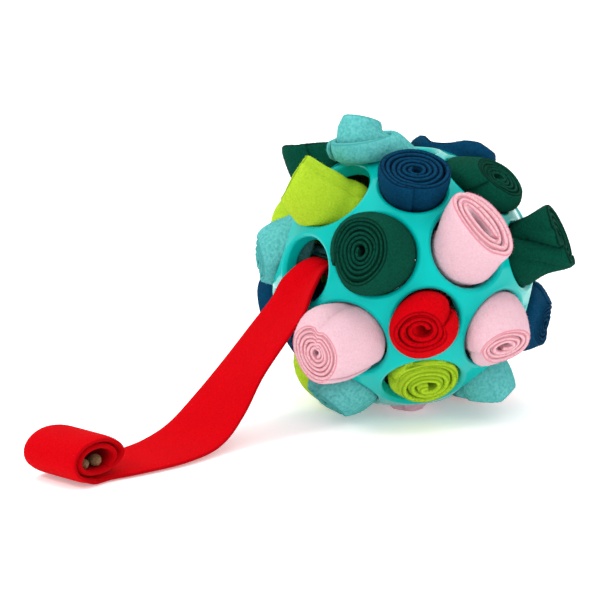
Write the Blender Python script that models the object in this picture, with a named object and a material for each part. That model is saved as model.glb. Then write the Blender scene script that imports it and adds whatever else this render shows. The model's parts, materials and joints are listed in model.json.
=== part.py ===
"""Snuffle ball: a moulded cage ball with fleece strips rolled up in its holes.

Metres, +Z up. The origin is on the ground under the ball's centre. The loose red strip leaves the
ball towards -X and ends in a roll that lies across X, along Y.
"""

import math

import bmesh
import bpy
from mathutils import Matrix, Vector

# Cage ball
cage_radius = 0.060
cage_wall = 0.0065
web_width = 0.0053
large_hole_share = 0.548
lip_share = 0.41
lip_steps = 2
large_hole_sides = 20
small_hole_sides = 16
rest_clearance = 0.002

# How the ball lies: spin about its front hole, tip of that hole from upright, then heading
ball_spin = math.radians(-142.1)
ball_tip = math.radians(97.0)
ball_heading = math.radians(-128.4)

# Fleece
fleece_thickness = 0.0030
layer_gap = 0.0006
roll_eye = 0.0003
roll_depth = 0.015
roll_fit = 0.0003
shoulder_share = 1.1
narrow_share = 0.75
facets_per_turn = 8
winding_start = math.radians(140)

# Gathered middles of the strips, inside the ball
middle_half_width = 0.0040
middle_half_thickness = 0.0023
middle_bend = 0.0035
middle_spacing = 0.007
middle_cover = 0.0045
middle_step = math.radians(22)

# Loose red strip, and the roll at its end
strip_width = 0.030
strip_reach = 0.122
mouth_drop = 0.0105
core_half_width = 0.0072
core_half_height = 0.0029
end_roll_turns = 1.75
end_roll_facets = 14
end_roll_flat = 0.0005

# Kibble in the end roll
kibble_large = 0.0031
kibble_small = 0.0026
kibble_inset = 0.0012
kibble_clearance = 0.0006
kibble_length_share = 1.15

colours = {
    "turquoise": (0.0, 0.578, 0.545),
    "red": (0.78, 0.003, 0.010),
    "lime": (0.392, 0.672, 0.027),
    "pink": (0.892, 0.645, 0.686),
    "navy": (0.004, 0.044, 0.105),
    "green": (0.003, 0.067, 0.042),
    "teal": (0.150, 0.597, 0.546),
    "kibble": (0.147, 0.061, 0.019),
}

# One row for each roll: hole, name, colour, stand out of the ball, lean and face tilt (to the right
# and up, seen from outside), and the half width and half height of its outer end. The shares of
# stand, lean and half sizes are of a large hole's radius.
roll_shares = (
    (0, "roll_red_front", "red", 0.28, 0.0, 0.0, -0.14, -0.16, 0.88, 0.88),
    (1, "roll_green_front_upper_left", "green", 0.64, -0.24, -0.06, -0.40, -0.04, 0.92, 0.96),
    (2, "roll_pink_front_lower_left", "pink", 0.93, -0.35, 0.16, -0.34, 0.15, 0.84, 0.84),
    (3, "roll_lime_front_low", "lime", 0.0, 0.10, 0.04, 0.0, 0.0, 0.88, 0.88),
    (4, "roll_pink_front_lower_right", "pink", 0.45, -0.18, -0.20, -0.15, -0.40, 0.72, 0.68),
    (5, "roll_pink_front_upper_right", "pink", 0.58, 0.08, 0.40, 0.17, 0.22, 0.90, 0.96),
    (7, "roll_teal_low_left", "teal", 0.38, -0.42, 0.0, -0.30, 0.10, 0.66, 0.68),
    (8, "roll_teal_low_right", "teal", 0.27, 0.0, 0.28, 0.10, 0.15, 0.72, 0.72),
    (9, "roll_green_right", "green", 0.96, 0.05, 0.28, 0.17, 0.22, 0.84, 0.86),
    (10, "roll_navy_top_front", "navy", 0.46, 0.0, 0.0, 0.01, 0.15, 0.90, 0.90),
    (11, "roll_lime_upper_left", "lime", 0.80, -0.20, -0.48, -0.80, -0.16, 0.80, 0.78),
    (12, "roll_navy_left_low", "navy", -0.08, 0.0, 0.0, 0.0, 0.0, 0.84, 0.84),
    (13, "roll_pink_base", "pink", 0.20, 0.0, 0.0, 0.0, 0.0, 0.80, 0.80),
    (14, "roll_navy_right_low", "navy", 0.44, -0.08, -0.08, -0.42, 0.15, 0.78, 0.80),
    (15, "roll_green_top_right", "green", 0.40, 0.0, -0.25, -0.06, 0.06, 0.86, 0.82),
    (16, "roll_teal_left", "teal", 0.33, 0.10, -0.50, 0.12, -0.40, 0.74, 0.72),
    (17, "roll_lime_low_back_left", "lime", 0.40, 0.0, 0.0, 0.0, 0.10, 0.84, 0.84),
    (18, "roll_red_low_right", "red", 0.40, 0.0, 0.0, 0.08, 0.05, 0.84, 0.84),
    (19, "roll_teal_right_back", "teal", -0.06, 0.0, 0.0, 0.0, 0.06, 0.82, 0.82),
    (20, "roll_teal_top", "teal", 0.54, 0.58, -0.48, 0.32, -0.18, 0.86, 0.84),
    (21, "roll_green_top_left", "green", 0.71, -0.16, 0.18, 0.0, 0.60, 0.80, 0.80),
    (22, "roll_navy_back_left", "navy", 0.42, 0.0, -0.08, 0.05, 0.05, 0.74, 0.72),
    (23, "roll_red_low_back", "red", 0.40, 0.0, 0.0, -0.05, 0.10, 0.78, 0.78),
    (24, "roll_navy_back_right", "navy", 0.50, 0.0, 0.0, 0.08, 0.04, 0.76, 0.76),
    (25, "roll_navy_top_right", "navy", 0.28, 0.10, 0.0, -0.08, -0.05, 1.10, 0.80),
    (26, "roll_lime_back_left", "lime", 0.48, 0.0, 0.0, -0.08, 0.08, 0.86, 0.84),
    (27, "roll_lime_low_back", "lime", 0.42, 0.0, 0.0, 0.05, 0.08, 0.84, 0.84),
    (28, "roll_pink_low_back_right", "pink", 0.48, 0.0, 0.0, -0.06, 0.10, 0.86, 0.82),
    (29, "roll_teal_back_right", "teal", 0.52, 0.0, 0.0, 0.10, -0.06, 0.86, 0.84),
    (30, "roll_lime_top_back", "lime", 0.50, 0.0, 0.0, 0.06, 0.10, 0.84, 0.84),
    (31, "roll_pink_back", "pink", 0.46, 0.0, 0.0, 0.08, 0.08, 0.78, 0.76),
)

# The two holes that each strip joins, and how many layers deep its middle lies
middles = (
    (4, 5, "pink", 0),
    (7, 8, "teal", 0),
    (9, 15, "green", 0),
    (10, 25, "navy", 0),
    (11, 30, "lime", 0),
    (12, 22, "navy", 0),
    (14, 24, "navy", 0),
    (18, 23, "red", 0),
    (19, 29, "teal", 0),
    (26, 27, "lime", 0),
    (28, 31, "pink", 0),
    (1, 21, "green", 1),
    (3, 17, "lime", 1),
    (2, 13, "pink", 2),
    (16, 20, "teal", 2),
)

red_roll_hole = 0
open_hole = 6

# The loose strip from its end roll to the ball's mouth: run and side and rise of its middle line,
# the heading and slope of its width in degrees, and how far its middle sags between its edges.
# Run and rise are shares of the reach and of the mouth's height, side and sag of the width.
strip_shares = (
    (0.00, 0.66, 0.023, 90, 0, 0.00),
    (0.09, 0.65, 0.024, 86, 0, 0.00),
    (0.23, 0.50, 0.030, 70, 1, 0.00),
    (0.40, 0.39, 0.052, 79, 5, 0.01),
    (0.55, 0.40, 0.105, 91, 8, 0.02),
    (0.68, 0.43, 0.249, 89, 5, 0.02),
    (0.80, 0.385, 0.476, 77, 2, 0.02),
    (0.92, 0.23, 0.745, 73, 3, 0.03),
    (0.972, 0.11, 0.890, 76, 2, 0.07),
    (1.00, 0.03, 1.050, 80, 0, 0.12),
)
strip_width_shares = (1.0, 1.0, 1.0, 1.0, 1.0, 1.0, 0.97, 0.92, 0.84, 0.78)
strip_steps = 3

ball_centre = Vector((0.0, 0.0, cage_radius + rest_clearance))


def icosahedron_corners():
    """Unit corners: a pole, a ring of five, the ring opposite and the far pole."""
    side_polar = math.atan(2.0)
    fifth = 2 * math.pi / 5
    corners = [Vector((0, 0, 1))]
    for polar, start in ((side_polar, fifth / 2), (math.pi - side_polar, 0.0)):
        for k in range(5):
            turn = start + fifth * k
            across = math.sin(polar)
            corners.append(Vector((across * math.cos(turn), across * math.sin(turn), math.cos(polar))))
    corners.append(Vector((0, 0, -1)))
    return corners


def hole_directions():
    """The 32 hole axes as (direction, is_large): small holes on corners, large ones on face centres."""
    corners = icosahedron_corners()
    neighbours = 0.4
    found = [(corner, False) for corner in corners]
    for i, a in enumerate(corners):
        for j in range(i + 1, len(corners)):
            for k in range(j + 1, len(corners)):
                b, c = corners[j], corners[k]
                if min(a.dot(b), b.dot(c), a.dot(c)) > neighbours:
                    found.append(((a + b + c).normalized(), True))
    found.sort(key=place_in_order)
    lie = (
        Matrix.Rotation(ball_heading, 3, "Z")
        @ Matrix.Rotation(ball_tip, 3, "Y")
        @ Matrix.Rotation(ball_spin, 3, "Z")
    )
    return [(lie @ direction, large) for direction, large in found]


def place_in_order(hole):
    """Sorts holes from the front pole back, and each ring by its turn."""
    direction = hole[0]
    polar = round(math.degrees(direction.angle(Vector((0, 0, 1)))))
    turn = round(math.degrees(math.atan2(direction.y, direction.x))) % 360
    return polar, turn


holes = hole_directions()

# A small and a large hole's axes are this far apart, and the web between them takes its share.
between_holes = math.acos(max(a.dot(b) for a, x in holes for b, y in holes if x and not y))
hole_space = between_holes - web_width / cage_radius
large_half_angle = hole_space * large_hole_share
small_half_angle = hole_space - large_half_angle
lip = web_width * lip_share
large_hole_radius = cage_radius * math.sin(large_half_angle)


def half_angle(hole):
    return large_half_angle if holes[hole][1] else small_half_angle


def sides_of(hole):
    return large_hole_sides if holes[hole][1] else small_hole_sides


def hole_frame(hole):
    """Right, up and outward directions at a hole, seen from outside."""
    out = holes[hole][0]
    up = (Vector((0, 0, 1)) - out * out.z).normalized()
    return up.cross(out), up, out


def material(name, colour, roughness):
    made = bpy.data.materials.new(name)
    made.use_nodes = True
    shader = made.node_tree.nodes["Principled BSDF"]
    shader.inputs["Base Color"].default_value = (*colours[colour], 1)
    shader.inputs["Roughness"].default_value = roughness
    shader.inputs["Metallic"].default_value = 0
    return made


def add_object(name, bm, finish, collection):
    """A bmesh as a named object, smooth except at sharp edges."""
    mesh = bpy.data.meshes.new(name)
    bmesh.ops.recalc_face_normals(bm, faces=bm.faces)
    bm.to_mesh(mesh)
    bm.free()
    mesh.materials.append(finish)
    mesh.shade_smooth()
    mesh.set_sharp_from_angle(angle=math.radians(50))
    made = bpy.data.objects.new(name, mesh)
    collection.objects.link(made)
    return made


def ring_points(hole, radius, angle):
    """A many-sided ring round a hole's axis whose flats lie at this half angle."""
    right, up, out = hole_frame(hole)
    sides = sides_of(hole)
    corner = radius * math.sin(angle) / math.cos(math.pi / sides)
    found = []
    for k in range(sides):
        turn = 2 * math.pi * k / sides
        found.append(
            ball_centre
            + out * (radius * math.cos(angle))
            + right * (corner * math.cos(turn))
            + up * (corner * math.sin(turn))
        )
    return found


def skin_between(bm, rings):
    """Spans the space between rings that lie on one sphere, leaving the rings open."""
    ring_of = {vertex: k for k, ring in enumerate(rings) for vertex in ring}
    made = bmesh.ops.convex_hull(bm, input=list(ring_of), use_existing_faces=False)
    lids = []
    for face in made["geom"]:
        if isinstance(face, bmesh.types.BMFace) and len({ring_of[v] for v in face.verts}) == 1:
            lids.append(face)
    bmesh.ops.delete(bm, geom=lids, context="FACES_ONLY")


def make_cage(finish, collection):
    """A sphere's shell with 32 radial holes, each with a rounded outer lip."""
    bm = bmesh.new()
    outer_rings = []
    inner_rings = []
    for hole in range(len(holes)):
        angle = half_angle(hole)
        rings = []
        for step in range(lip_steps + 1):
            turn = math.pi / 2 * step / lip_steps
            radius = cage_radius - lip * (1 - math.cos(turn))
            rings.append(ring_points(hole, radius, angle + lip * (1 - math.sin(turn)) / cage_radius))
        rings.append(ring_points(hole, cage_radius - cage_wall, angle))
        loops = [[bm.verts.new(point) for point in ring] for ring in rings]
        for first, second in zip(loops, loops[1:]):
            for k in range(len(first)):
                after = (k + 1) % len(first)
                bm.faces.new((first[k], first[after], second[after], second[k]))
        outer_rings.append(loops[0])
        inner_rings.append(loops[-1])
    skin_between(bm, outer_rings)
    skin_between(bm, inner_rings)
    return add_object("cage_ball", bm, finish, collection)


def loft(name, loops, finish, collection):
    """One closed body through a row of closed loops with as many points each."""
    bm = bmesh.new()
    rows = [[bm.verts.new(point) for point in loop] for loop in loops]
    for first, second in zip(rows, rows[1:]):
        for k in range(len(first)):
            after = (k + 1) % len(first)
            bm.faces.new((first[k], first[after], second[after], second[k]))
    bm.faces.new(rows[0])
    bm.faces.new(rows[-1])
    return add_object(name, bm, finish, collection)


def throat_at(hole, shell):
    """How far out, and how wide less the fit, a hole's throat is where it meets a sphere's shell."""
    angle = half_angle(hole)
    return shell * math.cos(angle), shell * math.sin(angle) - roll_fit


def roll_sections(hole, shares):
    """A roll's cross-sections from its inner end out: centre, width axis, height axis, half sizes."""
    out_share, lean_right, lean_up, tilt_right, tilt_up, wide_share, high_share = shares
    right, up, out = hole_frame(hole)
    bottom = cage_radius - roll_depth
    top = cage_radius + large_hole_radius * out_share
    half_wide = large_hole_radius * wide_share
    half_high = large_hole_radius * high_share
    edge, edge_half = throat_at(hole, cage_radius - cage_wall)
    knee, knee_half = throat_at(hole, cage_radius - lip)
    leans = lean_right or lean_up or min(half_wide, half_high) < knee_half * narrow_share
    if leans:
        widening = (knee_half - edge_half) / (knee - edge)
    else:
        widening = max(0.0, (min(half_wide, half_high) - edge_half) / (top - edge))
    bottom_half = edge_half - widening * (edge - bottom)
    beside = bottom * math.tan(half_angle(hole) + web_width / cage_radius / 3)
    bottom_half = min(bottom_half, beside)
    sections = [(ball_centre + out * bottom, right, up, bottom_half, bottom_half)]
    if leans:
        shoulder = knee + lip * shoulder_share
        shoulder_half = edge_half + widening * (shoulder - edge)
        sections.append((ball_centre + out * shoulder, right, up, shoulder_half, shoulder_half))
    normal = (out + right * tilt_right + up * tilt_up).normalized()
    across = (right - normal * right.dot(normal)).normalized()
    lean = right * lean_right + up * lean_up
    centre = ball_centre + out * top + lean * large_hole_radius
    sections.append((centre, across, normal.cross(across), half_wide, half_high))
    return sections


def winding(sections, least_half):
    """Stations of a spiral layer of fleece through the sections: its inner and outer side points."""
    half = fleece_thickness / 2
    start = roll_eye + half + fleece_thickness / 2
    turns = (least_half - half - start) / (fleece_thickness + layer_gap)
    count = math.ceil(turns * facets_per_turn)
    stations = []
    for k in range(count + 1):
        done = k / count
        turn = winding_start + 2 * math.pi * turns * done
        inner = []
        outer = []
        for centre, across, along, half_wide, half_high in sections:
            wide = start + (half_wide - half - start) * done
            high = start + (half_high - half - start) * done
            for side, points in ((-half, inner), (half, outer)):
                spot = across * ((wide + side) * math.cos(turn)) + along * ((high + side) * math.sin(turn))
                points.append(centre + spot)
        stations.append((inner, outer))
    return stations


def on_ground(points):
    """The points of one edge line with its outer end drawn back up its own line to the ground."""
    inner_end, outer_end = points[-2], points[-1]
    if outer_end.z < 0.0 < inner_end.z:
        back = outer_end.z / (outer_end.z - inner_end.z)
        outer_end = outer_end.lerp(inner_end, back)
        outer_end.z = 0.0
    return points[:-1] + [outer_end]


def least_gap(stations):
    """Least distance from a layer's outer side to the inner side of the layers outside it."""
    least = math.inf
    for k, (_, outer) in enumerate(stations):
        for inner, _ in stations[k + facets_per_turn // 2 :]:
            for near, far in zip(outer, inner):
                least = min(least, (near - far).length)
    return least


def make_roll(hole, name, shares, finish, collection):
    """A fleece strip wound into a roll that plugs a hole."""
    sections = roll_sections(hole, shares)
    least_half = min(min(section[3], section[4]) for section in sections)
    stations = [(on_ground(a), on_ground(b)) for a, b in winding(sections, least_half)]
    gap = least_gap(stations)
    loops = [inner + outer[::-1] for inner, outer in stations]
    made = loft(name, loops, finish, collection)
    move_origin(made, ball_centre + holes[hole][0] * cage_radius)
    return gap


def move_origin(obj, place):
    """Puts an object's origin at a place, which for a moving piece is on its joint's axis."""
    obj.data.transform(Matrix.Translation(-place))
    obj.location = place


def band_section(centre, across, through, half_width, half_thickness, sag=0.0):
    """A six-point cross-section of a band: its corners, and the middles of its two faces."""
    wide = across * half_width
    deep = through * half_thickness
    drop = through * sag
    return [
        centre - wide - deep,
        centre - deep - drop,
        centre + wide - deep,
        centre + wide + deep,
        centre + deep - drop,
        centre - wide + deep,
    ]


def middle_path(first, second, shell, ends):
    """A path in one plane from under one hole, down a leg, round a shell and up to the other hole."""
    a = holes[first][0]
    b = holes[second][0]
    whole = a.angle(b)
    side = (b - a * a.dot(b)).normalized()
    bend_angle = middle_bend / shell
    polar = [(0.0, ends), (0.0, shell + middle_bend)]
    for part in (0.5, 1.0):
        turn = math.pi / 2 * part
        polar.append((bend_angle * (1 - math.cos(turn)), shell + middle_bend * (1 - math.sin(turn))))
    between = max(2, math.ceil((whole - 2 * bend_angle) / middle_step))
    arc = [
        (bend_angle + (whole - 2 * bend_angle) * k / between, shell) for k in range(1, between)
    ]
    polar = polar + arc + [(whole - angle, radius) for angle, radius in reversed(polar)]
    points = [
        ball_centre + (a * math.cos(angle) + side * math.sin(angle)) * radius for angle, radius in polar
    ]
    return points, a.cross(b).normalized()


def tangents(points):
    """Unit directions along a row of points."""
    ahead = points[1:] + points[-1:]
    behind = points[:1] + points[:-1]
    return [(after - before).normalized() for after, before in zip(ahead, behind)]


def middle_sections(first, second, layer):
    """The gathered middle of one strip, from roll to roll inside the ball."""
    ends = cage_radius - roll_depth - roll_fit
    shell = ends - middle_cover - middle_spacing * layer
    points, across = middle_path(first, second, shell, ends)
    loops = []
    for point, ahead in zip(points, tangents(points)):
        through = ahead.cross(across)
        loops.append(band_section(point, across, through, middle_half_width, middle_half_thickness))
    return loops


def make_middles(finishes, collection):
    for first, second, colour, layer in middles:
        names = {row[0]: row[1] for row in roll_shares}
        ends = names[second].split("_", 2)[2]
        start = names[first].split("_", 2)[2]
        loops = middle_sections(first, second, layer)
        loft(f"strip_{colour}_{start}_to_{ends}", loops, finishes[colour], collection)


def curve_through(rows, steps):
    """Smooth rows of numbers between the given rows, by Catmull-Rom."""
    padded = [rows[0]] + list(rows) + [rows[-1]]
    made = []
    for k in range(len(rows) - 1):
        a, b, c, d = padded[k : k + 4]
        for step in range(steps):
            t = step / steps
            made.append(
                tuple(
                    (
                        2 * q
                        + (r - p) * t
                        + (2 * p - 5 * q + 4 * r - s) * t * t
                        + (3 * q - p - 3 * r + s) * t * t * t
                    )
                    / 2
                    for p, q, r, s in zip(a, b, c, d)
                )
            )
    made.append(tuple(rows[-1]))
    return made


def mouth_point():
    """Where the loose strip's middle line passes the open hole, below the hole's own middle."""
    right, up, out = hole_frame(open_hole)
    return ball_centre + out * cage_radius - up * mouth_drop


def strip_stations():
    """The loose strip's sections from end roll to mouth: centre, width direction, half width, sag."""
    mouth = mouth_point()
    rows = [row + (width,) for row, width in zip(strip_shares, strip_width_shares)]
    stations = []
    for run, side, rise, heading, slope, sag, width in curve_through(rows, strip_steps):
        centre = Vector(
            (
                mouth.x - strip_reach * (1 - run),
                mouth.y + strip_width * side,
                max(mouth.z * rise, fleece_thickness / 2),
            )
        )
        level = math.cos(math.radians(slope))
        across = Vector(
            (
                level * math.cos(math.radians(heading)),
                level * math.sin(math.radians(heading)),
                math.sin(math.radians(slope)),
            )
        )
        stations.append((centre, across, strip_width / 2 * width, strip_width * sag))
    # The last one lies level across the mouth, because the strip swings about its upper edge.
    centre, _, half_width, sag = stations[-1]
    stations[-1] = (centre, -hole_frame(open_hole)[0], half_width, sag)
    return stations


def strip_loops(stations, hold_first_flat):
    """Cross-sections of a flat band along its stations, its upper face on the +through side."""
    ways = tangents([station[0] for station in stations])
    loops = []
    for k, ((centre, across, half_width, sag), ahead) in enumerate(zip(stations, ways)):
        if hold_first_flat and k == 0:
            ahead = Vector((1, 0, 0))
        through = ahead.cross(across).normalized()
        loop = band_section(centre, across, through, half_width, fleece_thickness / 2, sag)
        for point in loop:
            point.z = max(point.z, 0.0)
        loops.append(loop)
    return loops


def make_loose_strip(finish, collection):
    """The part of the red strip that lies outside, hinged at the mouth's lower lip."""
    loops = strip_loops(strip_stations(), True)
    made = loft("red_strip_loose", loops, finish, collection)
    hinge = (loops[-1][3] + loops[-1][5]) / 2
    move_origin(made, hinge)
    return loops, hinge


def make_strip_inside(loops, finish, collection):
    """The red strip from the mouth in to the foot of its other roll, gathered on the way."""
    last = strip_stations()[-1]
    ends = cage_radius - roll_depth - roll_fit
    shell = ends - middle_cover
    points, level = middle_path(open_hole, red_roll_hole, shell, ends)
    ways = tangents(points)
    gathered = [
        band_section(point, level, ahead.cross(level), middle_half_width, middle_half_thickness)
        for point, ahead in zip(points[1:], ways[1:])
    ]
    face = loops[-1]
    ahead = (face[1] - face[4]).cross(face[2] - face[0]).normalized()
    inward = -1 if ahead.dot(holes[open_hole][0]) > 0 else 1
    start = [point + ahead * (inward * roll_fit) for point in face]
    turned = match_order(start, gathered[0])
    between = [
        [a.lerp(b, share) for a, b in zip(start, turned[0])] for share in (0.35, 0.7)
    ]
    order = turned[1]
    gathered = [[section[k] for k in order] for section in gathered]
    return loft("red_strip_inside", [start] + between + gathered, finish, collection)


def match_order(start, target):
    """The target's points turned and mirrored so that they pair with the start's at least distance."""
    count = len(start)
    best = None
    for first in range(count):
        for way in (1, -1):
            order = [(first + way * k) % count for k in range(count)]
            total = sum((a - target[k]).length for a, k in zip(start, order))
            if best is None or total < best[0]:
                best = (total, order)
    return [target[k] for k in best[1]], best[1]


def end_roll_centre():
    """The end roll's middle: its outer layer's last station meets the loose strip's first."""
    first = strip_stations()[0][0]
    wide, high = end_roll_half(1.0)
    return Vector((first.x - roll_fit, first.y, high + fleece_thickness / 2 - end_roll_flat))


def end_roll_half(done):
    """Half width and half height of the end roll's layer at a share of its length."""
    growth = (fleece_thickness + layer_gap) * end_roll_turns * done
    half = fleece_thickness / 2
    return core_half_width + half + growth, core_half_height + half + growth


def make_end_roll(finish, collection):
    """The rolled-up end of the red strip: an oval spiral round an open core."""
    centre = end_roll_centre()
    count = math.ceil(end_roll_turns * end_roll_facets)
    half = fleece_thickness / 2
    loops = []
    stations = []
    for k in range(count + 1):
        done = k / count
        turn = -math.pi / 2 - 2 * math.pi * end_roll_turns * (1 - done)
        wide, high = end_roll_half(done)
        loop = []
        sides = []
        for side in (-half, half):
            x = (wide + side) * math.cos(turn)
            z = max((high + side) * math.sin(turn), -centre.z)
            near = centre + Vector((x, -strip_width / 2, z))
            far = centre + Vector((x, strip_width / 2, z))
            loop += [near, far] if side < 0 else [far, near]
            sides.append([near, far])
        loops.append(loop)
        stations.append(tuple(sides))
    made = loft("red_strip_end_roll", loops, finish, collection)
    move_origin(made, centre)
    return least_gap(stations)


def make_kibble(name, radius, across, finish, collection):
    """One lump of kibble on the floor of the end roll's core, near its mouth."""
    centre = end_roll_centre()
    # The innermost layer starts beside the core, and lies across it half a turn on and under it
    # three quarters of a turn on.
    taken = fleece_thickness / 2 + radius + kibble_clearance
    wide = end_roll_half(0.5 / end_roll_turns)[0] - taken
    high = end_roll_half(0.75 / end_roll_turns)[1] - taken
    bm = bmesh.new()
    bmesh.ops.create_uvsphere(bm, u_segments=8, v_segments=6, radius=radius)
    bmesh.ops.scale(bm, vec=(1.0, kibble_length_share, 1.0), verts=bm.verts)
    made = add_object(name, bm, finish, collection)
    made.location = (
        centre.x + wide * across,
        centre.y - strip_width / 2 + radius + kibble_inset,
        centre.z - high * math.sqrt(1 - across * across),
    )


def main():
    for old in list(bpy.data.objects):
        bpy.data.objects.remove(old)
    parts = bpy.data.collections.new("snuffle_ball")
    bpy.context.scene.collection.children.link(parts)

    cage_finish = material("moulded_turquoise", "turquoise", 0.18)
    fleeces = {
        colour: material("fleece_" + colour, colour, 0.95)
        for colour in ("red", "lime", "pink", "navy", "green", "teal")
    }
    kibble_finish = material("baked_kibble", "kibble", 0.8)

    make_cage(cage_finish, parts)
    gaps = [
        make_roll(hole, name, shares, fleeces[colour], parts)
        for hole, name, colour, *shares in roll_shares
    ]
    make_middles(fleeces, parts)
    loops, hinge = make_loose_strip(fleeces["red"], parts)
    make_strip_inside(loops, fleeces["red"], parts)
    gaps.append(make_end_roll(fleeces["red"], parts))
    make_kibble("kibble_large", kibble_large, 0.60, kibble_finish, parts)
    make_kibble("kibble_small", kibble_small, -0.70, kibble_finish, parts)
    print("least gap between fleece layers, mm:", round(min(gaps) * 1000, 3))
    print("hinge of the loose strip:", [round(value, 5) for value in hinge])


main()
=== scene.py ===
"""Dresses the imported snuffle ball: a glossy moulded cage ball, fleece strips rolled up in its holes,
and one red strip pulled out, with kibble in the roll at its end."""

import json
import math

import bmesh
import bpy
import mathutils.noise
import numpy as np
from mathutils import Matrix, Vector


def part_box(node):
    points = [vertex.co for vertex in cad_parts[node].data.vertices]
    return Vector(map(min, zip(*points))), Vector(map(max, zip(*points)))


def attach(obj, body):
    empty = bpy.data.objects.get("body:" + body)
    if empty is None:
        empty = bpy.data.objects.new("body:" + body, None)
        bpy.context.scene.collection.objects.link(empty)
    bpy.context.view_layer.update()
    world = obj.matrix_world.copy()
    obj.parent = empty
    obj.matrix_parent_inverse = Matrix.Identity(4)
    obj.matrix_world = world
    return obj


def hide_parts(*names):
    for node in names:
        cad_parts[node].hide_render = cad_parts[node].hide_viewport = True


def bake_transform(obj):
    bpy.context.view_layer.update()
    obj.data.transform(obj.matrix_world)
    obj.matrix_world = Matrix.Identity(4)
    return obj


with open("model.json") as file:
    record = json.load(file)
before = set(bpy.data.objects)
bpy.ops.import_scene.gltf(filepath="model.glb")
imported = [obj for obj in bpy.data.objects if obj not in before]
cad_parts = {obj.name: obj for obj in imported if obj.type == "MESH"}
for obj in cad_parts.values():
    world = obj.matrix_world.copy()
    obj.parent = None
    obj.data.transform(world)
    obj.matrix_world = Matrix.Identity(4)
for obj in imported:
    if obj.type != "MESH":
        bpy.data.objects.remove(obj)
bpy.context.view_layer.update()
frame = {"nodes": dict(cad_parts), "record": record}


# The pattern of holes. Each roll's slide gives its hole's axis, and the open hole has none. The 32
# axes add up to nothing, so the open hole's axis is what the others lack. A small hole has five large
# ones 37 degrees away, a large hole has three small ones there, and large holes are 42 degrees apart.
MM = 0.001
SMALL_HOLE = math.radians(14.607)
LARGE_HOLE = math.radians(17.709)
NEAR_COSINE = 0.77
SAME_COSINE = 0.99
CAGE_R = 60 * MM
WALL = 6.5 * MM
LIP = 2.17 * MM
ball_centre = np.array([0, 0, 62 * MM])
open_hole = "open"
hole_axis = {
    joint["child"].replace("pulled_roll_", ""): np.array(joint["axis"])
    for joint in frame["record"]["behaviour"]["joints"]
    if joint["type"] == "slide"
}
rest = -sum(hole_axis.values())
hole_axis[open_hole] = rest / np.linalg.norm(rest)
half_angle = {}
for name, axis in hole_axis.items():
    near = [other for other in hole_axis.values() if NEAR_COSINE < axis @ other < SAME_COSINE]
    half_angle[name] = SMALL_HOLE if len(near) == 5 else LARGE_HOLE


def hole_frame(axis):
    """Right, up and outward directions of a hole, as seen from outside."""
    up = np.array([0, 0, 1]) - axis * axis[2]
    up = up / np.linalg.norm(up)
    return np.cross(up, axis), up, axis


# Cage ball: a hollow shell, injection moulded in turquoise plastic, with a rounded lip at each hole.
# Its rims are the solid's, only finer. The skins between them are the hull of the rims, and their
# shading follows the sphere and dips a little at the lips, so that the ball reads as round.
RIM_SIDES = 72
LIP_STEPS = 8
INNER_LIP = 0.8 * MM
INNER_LIP_STEPS = 4
WEB_DIP = 0.10


def cage_rim(name, radius, angle):
    """The points of one rim of a hole, and their directions from the hole's axis."""
    right, up, out = hole_frame(hole_axis[name])
    turns = np.arange(RIM_SIDES) * 2 * math.pi / RIM_SIDES
    around = np.outer(np.cos(turns), right) + np.outer(np.sin(turns), up)
    return ball_centre + radius * (math.cos(angle) * out + math.sin(angle) * around), around


bm = bmesh.new()
shading = []
rims_out = []
rims_in = []
for name, axis in hole_axis.items():
    angle = half_angle[name]
    steps = []
    for k in range(LIP_STEPS + 1):
        turn = math.pi / 2 * k / LIP_STEPS
        radius = CAGE_R - LIP * (1 - math.cos(turn))
        steps.append((radius, angle + LIP * (1 - math.sin(turn)) / CAGE_R, turn))
    inner = CAGE_R - WALL
    steps.append((inner + INNER_LIP, angle, math.pi / 2))
    for k in range(1, INNER_LIP_STEPS + 1):
        turn = math.pi / 2 * k / INNER_LIP_STEPS
        radius = inner + INNER_LIP * (1 - math.sin(turn))
        at_angle = angle + INNER_LIP * (1 - math.cos(turn)) / inner
        steps.append((radius, at_angle, math.pi / 2 + turn))
    rings = []
    for radius, at_angle, turn in steps:
        points, around = cage_rim(name, radius, at_angle)
        ring = []
        for point, away in zip(points, around):
            vertex = bm.verts.new(point)
            radial = (point - ball_centre) / radius
            inward = axis * math.sin(at_angle) - away * math.cos(at_angle)
            shown = turn if turn > 0 else -WEB_DIP
            shading.append(radial * math.cos(shown) + inward * math.sin(shown))
            ring.append(vertex)
        rings.append(ring)
    for low, high in zip(rings, rings[1:]):
        for k in range(RIM_SIDES):
            after = (k + 1) % RIM_SIDES
            bm.faces.new((low[k], low[after], high[after], high[k]))
    rims_out.append(rings[0])
    rims_in.append(rings[-1])
for rims in (rims_out, rims_in):
    ring_of = {vertex: k for k, ring in enumerate(rims) for vertex in ring}
    hull = bmesh.ops.convex_hull(bm, input=list(ring_of), use_existing_faces=False)
    lids = [
        face
        for face in hull["geom"]
        if isinstance(face, bmesh.types.BMFace) and len({ring_of[v] for v in face.verts}) == 1
    ]
    bmesh.ops.delete(bm, geom=lids, context="FACES_ONLY")
bmesh.ops.recalc_face_normals(bm, faces=bm.faces)
cage_mesh = bpy.data.meshes.new("moulded_cage")
bm.to_mesh(cage_mesh)
bm.free()
cage_mesh.shade_smooth()
cage_mesh.normals_split_custom_set_from_vertices([Vector(n) for n in shading])
cage = bpy.data.objects.new("moulded_cage", cage_mesh)
bpy.context.scene.collection.objects.link(cage)
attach(cage, "ball")
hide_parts("cage_ball")


def hex_colour(text):
    """An sRGB colour code as linear red, green, blue and alpha."""
    parts = [int(text[k : k + 2], 16) / 255 for k in (1, 3, 5)]
    return [p / 12.92 if p <= 0.04045 else ((p + 0.055) / 1.055) ** 2.4 for p in parts] + [1]


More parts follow.
